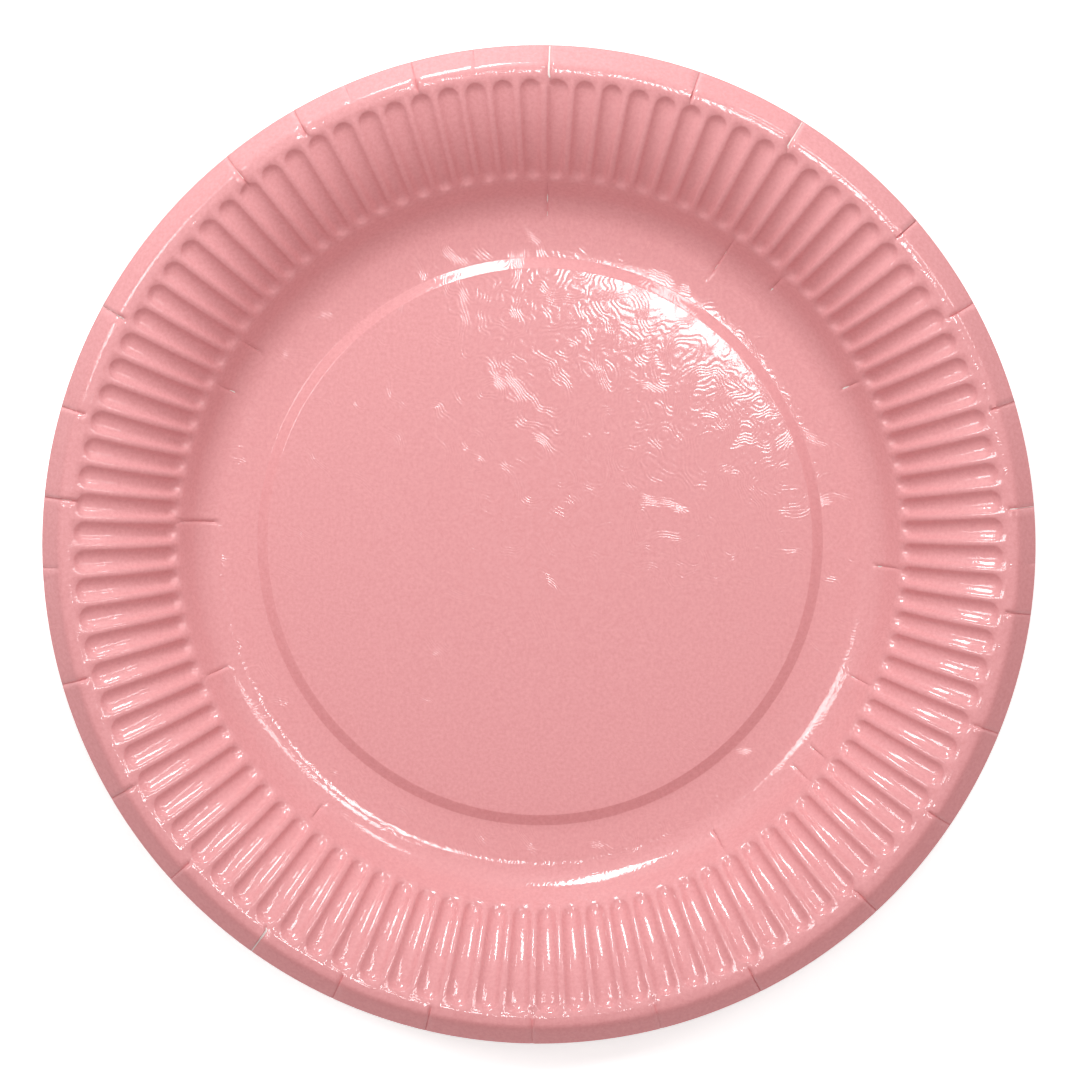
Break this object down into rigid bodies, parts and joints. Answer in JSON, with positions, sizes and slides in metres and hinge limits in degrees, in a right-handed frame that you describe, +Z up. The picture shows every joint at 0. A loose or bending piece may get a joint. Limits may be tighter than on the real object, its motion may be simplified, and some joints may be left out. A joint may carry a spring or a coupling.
{
  "type": "stack of paper plates",
  "caption": "Nested stack of round pressed paper plates with a raised centre disc, a ring step, a fluted wall and rim, and a turned-down edge.",
  "frame": {"origin": "centre of the stack on the table, under the bottom plate's flat ring", "axes": "+Z up along the plates' own axis; X and Y are alike"},
  "size_m": [0.23, 0.23, 0.0285],
  "materials": {
    "coated_board": "satin"
  },
  "bodies": {
    "root": {"plate_01": "coated_board", "plate_02": "coated_board", "plate_03": "coated_board", "plate_04": "coated_board", "plate_05": "coated_board", "plate_06": "coated_board", "plate_07": "coated_board", "plate_08": "coated_board"}
  },
  "joints": []
}
